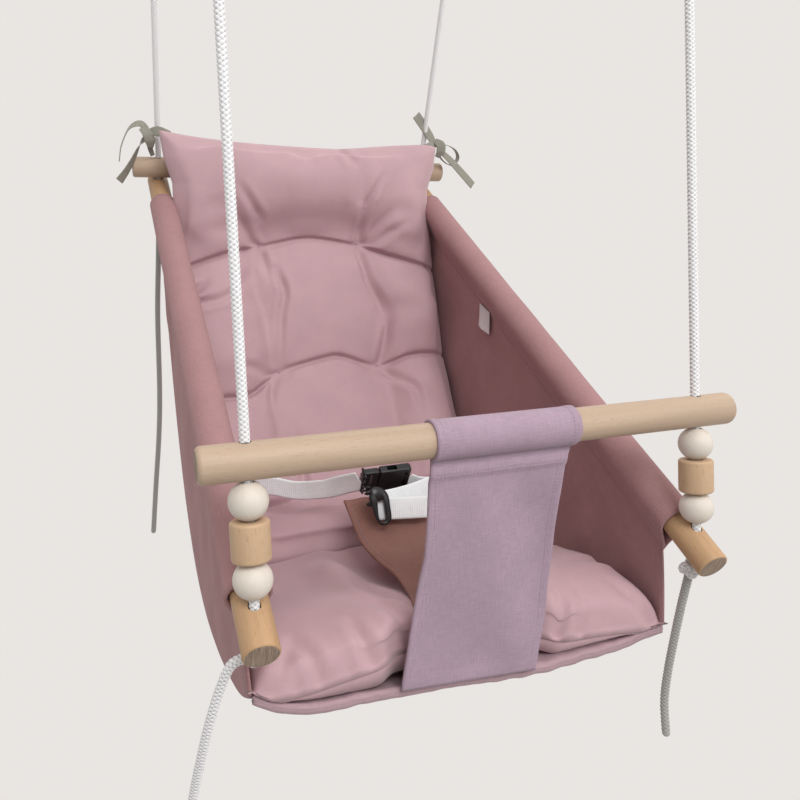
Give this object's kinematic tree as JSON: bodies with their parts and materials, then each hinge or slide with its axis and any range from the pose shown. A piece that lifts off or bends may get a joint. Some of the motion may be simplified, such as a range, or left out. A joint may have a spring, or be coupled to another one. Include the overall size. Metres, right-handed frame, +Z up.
{
  "type": "toddler bucket swing",
  "caption": "Fabric toddler bucket swing with wooden bars and beads, padded back and seat cushions and a waist belt, hung on ropes.",
  "frame": {"origin": "on the ceiling plane, midway between the four ceiling eyes", "axes": "+Z up; the seat faces -Y; +X is on the right of a viewer who faces the seat's front"},
  "size_m": [0.4584, 0.6127, 0.7923],
  "materials": {
    "beech": "satin",
    "pale_wood": "satin",
    "rope": "matte",
    "steel": "satin",
    "canvas": "matte",
    "cushion": "matte",
    "webbing": "matte",
    "black_plastic": "satin",
    "ribbon": "satin",
    "label": "matte"
  },
  "bodies": {
    "ceiling": {"ceiling_eye_front_left": "steel", "ceiling_eye_front_right": "steel", "ceiling_eye_rear_left": "steel", "ceiling_eye_rear_right": "steel", "ceiling_screw_a_front_left": "steel", "ceiling_screw_b_front_left": "steel", "ceiling_screw_a_front_right": "steel", "ceiling_screw_b_front_right": "steel", "ceiling_screw_a_rear_left": "steel", "ceiling_screw_b_rear_left": "steel", "ceiling_screw_a_rear_right": "steel", "ceiling_screw_b_rear_right": "steel"},
    "front_ropes": {"rope_front_left": "rope", "rope_front_right": "rope"},
    "seat": {"front_bar": "beech", "back_bar": "beech", "side_rod_left": "beech", "side_rod_right": "beech", "rope_end_front_left": "rope", "rope_end_front_right": "rope", "rope_end_rear_left": "rope", "rope_end_rear_right": "rope", "sling_back_and_seat": "canvas", "sling_side_left": "canvas", "sling_side_right": "canvas", "crotch_panel": "canvas", "crotch_strap": "canvas", "back_cushion": "cushion", "seat_cushion": "cushion", "waist_strap_right": "webbing", "buckle_socket": "black_plastic", "ribbon_tie_left": "ribbon", "ribbon_tie_right": "ribbon", "side_label": "label"},
    "rear_ropes": {"rope_rear_left": "rope", "rope_rear_right": "rope"},
    "buckle_plug": {"buckle_plug": "black_plastic", "waist_strap_left": "webbing"},
    "buckle_prong_upper": {"buckle_prong_upper": "black_plastic"},
    "buckle_prong_lower": {"buckle_prong_lower": "black_plastic"},
    "bead_top_left": {"bead_top_left": "pale_wood"},
    "bead_middle_left": {"bead_middle_left": "beech"},
    "bead_bottom_left": {"bead_bottom_left": "pale_wood"},
    "bead_top_right": {"bead_top_right": "pale_wood"},
    "bead_middle_right": {"bead_middle_right": "beech"},
    "bead_bottom_right": {"bead_bottom_right": "pale_wood"}
  },
  "joints": [
    {"name": "swing", "type": "hinge", "parent": "ceiling", "child": "front_ropes", "pos_m": [0, -0.19137, -0.022], "axis": [1, 0, 0], "range_deg": [-6, 6]},
    {"name": "seat_tilt", "type": "hinge", "parent": "front_ropes", "child": "seat", "pos_m": [0, -0.2797, -0.43728], "axis": [1, 0, 0], "range_deg": [-4.1, 4.1]},
    {"name": "rear_rope_swing", "type": "hinge", "parent": "seat", "child": "rear_ropes", "pos_m": [0, 0.25448, -0.27738], "axis": [1, 0, 0], "range_deg": [-6.6, 6.6]},
    {"name": "bead_top_left_spin", "type": "hinge", "parent": "seat", "child": "bead_top_left", "pos_m": [-0.17, -0.28747, -0.47384], "axis": [0, 0.208, 0.9781], "continuous": true},
    {"name": "bead_middle_left_spin", "type": "hinge", "parent": "seat", "child": "bead_middle_left", "pos_m": [-0.17, -0.29258, -0.49788], "axis": [0, 0.208, 0.9781], "continuous": true},
    {"name": "bead_bottom_left_spin", "type": "hinge", "parent": "seat", "child": "bead_bottom_left", "pos_m": [-0.17, -0.2977, -0.52191], "axis": [0, 0.208, 0.9781], "continuous": true},
    {"name": "bead_top_right_spin", "type": "hinge", "parent": "seat", "child": "bead_top_right", "pos_m": [0.17, -0.28747, -0.47384], "axis": [0, 0.208, 0.9781], "continuous": true},
    {"name": "bead_middle_right_spin", "type": "hinge", "parent": "seat", "child": "bead_middle_right", "pos_m": [0.17, -0.29258, -0.49788], "axis": [0, 0.208, 0.9781], "continuous": true},
    {"name": "bead_bottom_right_spin", "type": "hinge", "parent": "seat", "child": "bead_bottom_right", "pos_m": [0.17, -0.2977, -0.52191], "axis": [0, 0.208, 0.9781], "continuous": true},
    {"name": "buckle_release", "type": "slide", "parent": "seat", "child": "buckle_plug", "axis": [-1, 0, 0], "range_m": [0, 0.02]},
    {"name": "prong_squeeze_upper", "type": "hinge", "parent": "buckle_plug", "child": "buckle_prong_upper", "pos_m": [-0.0077, -0.08587, -0.56157], "axis": [0, 0.9063, 0.4226], "range_deg": [0, 7], "stiffness_Nm_per_rad": 0.05},
    {"name": "prong_squeeze_lower", "type": "hinge", "parent": "buckle_plug", "child": "buckle_prong_lower", "pos_m": [-0.0077, -0.07893, -0.57643], "axis": [0, -0.9063, -0.4226], "range_deg": [0, 7], "stiffness_Nm_per_rad": 0.05}
  ],
  "couplings": [
    {"joint": "seat_tilt", "follows": "swing", "ratio": -0.66705},
    {"joint": "rear_rope_swing", "follows": "swing", "ratio": 1.0847}
  ]
}
